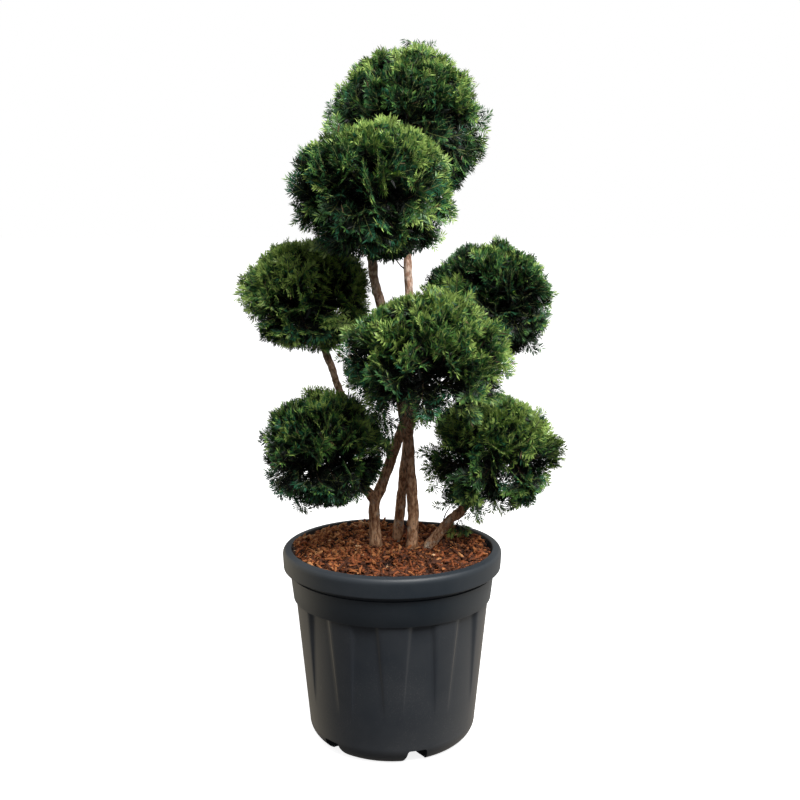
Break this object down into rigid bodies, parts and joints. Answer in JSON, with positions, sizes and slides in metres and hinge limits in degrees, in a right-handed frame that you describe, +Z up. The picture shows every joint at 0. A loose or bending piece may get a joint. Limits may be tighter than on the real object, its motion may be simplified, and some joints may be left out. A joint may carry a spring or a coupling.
{
  "type": "potted yew cloud topiary",
  "caption": "Yew trained as a cloud topiary: slim bare stems rise from a round ribbed nursery pot, fork and carry clipped balls of foliage at staggered heights.",
  "frame": {"origin": "middle of the pot's flat underside, which stands on the floor", "axes": "+Z up along the pot's axis, -Y towards the front of the plant, +X to its right seen from the front"},
  "size_m": [0.6779, 0.6101, 1.438],
  "materials": {
    "charcoal_plastic": "satin",
    "bark_mulch": "matte",
    "yew_bark": "matte",
    "yew_foliage": "satin"
  },
  "bodies": {
    "root": {"pot": "charcoal_plastic", "soil": "bark_mulch", "stem_left": "yew_bark", "stem_back": "yew_bark", "stem_centre": "yew_bark", "stem_right": "yew_bark", "bough_lower_left": "yew_bark", "bough_left": "yew_bark", "bough_front": "yew_bark", "foliage_top": "yew_foliage", "foliage_upper_front": "yew_foliage", "foliage_left": "yew_foliage", "foliage_right": "yew_foliage", "foliage_front": "yew_foliage", "foliage_lower_left": "yew_foliage", "foliage_lower_right": "yew_foliage"}
  },
  "joints": []
}
